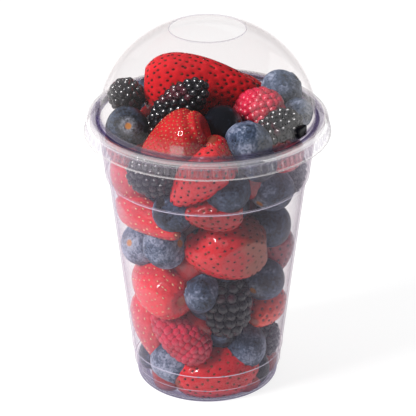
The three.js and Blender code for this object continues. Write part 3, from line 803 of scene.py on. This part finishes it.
skirt_outside = [
    (51.1, 114.0, 0.3, 0.5),
    (50.7, 115.1, 0.3, 0),
    (50.0, 118.6, 0.5, 0.15),
    (50.1, 119.2, 0.3, 0.5),
    (49.75, 120.1, 0.4, 0.8),
    (48.9, 120.9, 0.5, 0.5),
    (47.3, 120.9, 0.5, -0.3),
    (45.6, 119.4, 0.4, -1),
    (44.9, 119.4, 0.3, -1),
    (44.7, 120.3, 0, -0.4),
]
skirt_inside = [
    (44.15, 120.3, 0, 0),
    (44.3, 118.85, 0.3, -1),
    (45.8, 118.85, 0.4, -1),
    (47.5, 120.35, 0.4, -0.3),
    (48.7, 120.35, 0.4, 0),
    (49.25, 119.9, 0.3, 0.2),
    (49.5, 119.1, 0.3, 0),
    (49.4, 118.6, 0.3, 0),
    (50.1, 115.0, 0.3, 0),
    (50.5, 114.0, 0.2, 0.9),
]
inner_dome = dome_line(-lid_wall)[::-1]
lid_line = rounded(skirt_outside)[:-1] + dome_line(0) + inner_dome + rounded(skirt_inside)[1:]
lid = spun(lid_line, steps=256, closed=True)
lid_fold = lid.verts.layers.float["fold"]

# The crimps: narrow upright dents pressed into the skirt, their sides painted darker (a painted shade) and
# their middles painted paler (a painted highlight).
crimps, crimp_depth, crimp_half, crimp_fade = 64, 0.5, 0.3, 0.7
crimp_low, crimp_high, skirt_from = 114.6, 118.9, 49.2
for v in lid.verts:
    h, reach = v.co.z / MM, math.hypot(v.co.x, v.co.y) / MM
    if crimp_low < h < crimp_high and reach > skirt_from:
        share = (math.atan2(v.co.y, v.co.x) / math.tau * crimps) % 1
        dent = max(0, 1 - abs(share - 0.5) / crimp_half)
        ends = min(1, (h - crimp_low) / crimp_fade, (crimp_high - h) / crimp_fade)
        v.co.xy *= 1 - crimp_depth * dent * ends / reach
        # Painted shade at the dent's sides and painted highlight in its middle, through the fold mark.
        v[lid_fold] += ends * (-0.34 if 0.05 < dent < 0.6 else 0.14 if dent > 0.6 else 0)

# The lugs: small bevelled blocks on the foot of the dome, each with its own fold mark: the first painted a
# little paler (a painted highlight), the second painted nearly black (a painted dark reflection), the last
# drawn a little thick.
lug_marks, lug_size, first_lug = (0.12, -2.0, 0, 0, -0.4), (5.6, 1.9, 4.2), -15.5
lug_out, lug_up = dome_radius + 0.35, dome_height + 3.2
for i, lug_mark in enumerate(lug_marks):
    turn = math.radians(first_lug + 360 / len(lug_marks) * i)
    lug = bmesh.ops.create_cube(lid, size=1)["verts"]
    bmesh.ops.scale(lid, vec=[side * MM for side in lug_size], verts=lug)
    bmesh.ops.translate(lid, vec=(0, -lug_out * MM, lug_up * MM), verts=lug)
    bmesh.ops.rotate(lid, cent=(0, 0, 0), matrix=Matrix.Rotation(turn, 3, "Z"), verts=lug)
    for v in lug:
        # Painted light: the second lug's mark paints it nearly black, and the first lug's paints it a little
        # paler.
        v[lid_fold] = lug_mark
    edges = list({e for v in lug for e in v.link_edges})
    bmesh.ops.bevel(
        lid, geom=edges, offset=0.5 * MM, segments=3, profile=0.5, affect="EDGES", material=-1
    )
lid_pet = clear_pet(
    "clear_PET_lid", mist=0.002, mist_edge=0.06, clear_tint="#FEFDFD", back_shade_tint="#F8F7F7",
    edge_tint="#F6F3F3", mist_hue="#ECE8E8", sheen_hue="#FFFFFF",
)
lid_piece = finished(lid, "lid_skin", lid_pet, "lid")

# Floor: a plain white light table, matt and gently lit from within.
sweep = bmesh.new()
bmesh.ops.create_grid(sweep, x_segments=1, y_segments=1, size=4)
paper, tree, out = blank("white_light_table")
sheet = add(tree, "ShaderNodeBsdfDiffuse", Color=colour("#8C8C8C"))
glow = add(tree, "ShaderNodeEmission", Color=colour("#FFFFFF"), Strength=0.84)
both = add(tree, "ShaderNodeAddShader", _0=sheet.outputs[0], _1=glow.outputs[0])
tree.links.new(both.outputs[0], out.inputs["Surface"])
mesh = bpy.data.meshes.new("floor")
sweep.to_mesh(mesh)
sweep.free()
mesh.materials.append(paper)
floor = bpy.data.objects.new("floor", mesh)
bpy.context.scene.collection.objects.link(floor)
floor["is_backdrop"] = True

# Light: a dim studio. Two softboxes, one in front at the upper left and one overhead, light the matt
# side of everything. A white card at the right shows only as a gleam on the plastic, and two small
# lamps give the sparkle of the brambles and of the wet fruit.
room = bpy.data.worlds.new("dim_studio")
bpy.context.scene.world = room
room.use_nodes = True
surround = room.node_tree.nodes["Background"].inputs
surround["Color"].default_value, surround["Strength"].default_value = colour("#E8EAF2"), 0.16
plastics = [cup_piece, lid_piece]
beaded = [wall_brambles, *(pieces[node] for node in pieces if "bramble" in node)]
wet_nodes = ("raspberry_right", "strawberry_front", "strawberry_tip")
wet_fruit = [wall_strawberries, *(pieces[node] for node in wet_nodes)]

# Each lamp: name, place, the point it faces, size, power, whether only its gleam shows, and the pieces
# that it is kept to.
for name, spot, aim, size, power, glossy, lit in (
    ("key_softbox", (-0.8, -0.4, 0.75), (0, 0, 0.08), (0.4, 0.4), 17.5, False, []),
    ("top_softbox", (-0.1, 0.28, 1.1), (0, 0, 0.1), (1.1, 0.8), 6, False, []),
    ("right_card", (0.3, 0.045, 0.19), (0, 0.045, 0.19), (0.6, 0.36), 1.25, True, plastics),
    ("spark", (-0.2, -0.1, 1.05), (0, 0, 0.12), (0.34, 0.34), 26, True, beaded),
    ("left_spark", (-0.6, -0.4, 0.8), (0, 0, 0.1), (0.22, 0.22), 10, True, wet_fruit),
):
    lamp = bpy.data.lights.new(name, "AREA")
    lamp.shape, lamp.size, lamp.size_y, lamp.energy = "RECTANGLE", *size, power
    holder = bpy.data.objects.new(name, lamp)
    holder.location = spot
    holder.rotation_euler = (Vector(aim) - Vector(spot)).to_track_quat("-Z", "Y").to_euler()
    holder.visible_glossy, holder.visible_diffuse, holder.visible_camera = glossy, not glossy, False
    if lit:
        lit_pieces = bpy.data.collections.new(f"lit_by_{name}")
        for piece in lit:
            lit_pieces.objects.link(piece)
        holder.light_linking.receiver_collection = lit_pieces
    bpy.context.scene.collection.objects.link(holder)

# Camera: a long lens, looking down on the cup from the front, half a pixel off centre in a square
# picture.
picture_width = 416
lens = bpy.data.cameras.new("camera")
lens.lens, lens.sensor_width, lens.clip_end = 173.08, 36, 20
lens.shift_x = 0.5 / picture_width
camera = bpy.data.objects.new("camera", lens)
camera.location = (0, -0.7542, 0.4511)
camera.rotation_euler = (math.radians(63.628), 0, 0)
bpy.context.scene.collection.objects.link(camera)
bpy.context.scene.camera = camera
bpy.context.scene.view_settings.view_transform = "Standard"

size = {"cad": [list(c) for c in cad_box], "scene": [list(c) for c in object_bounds()]}
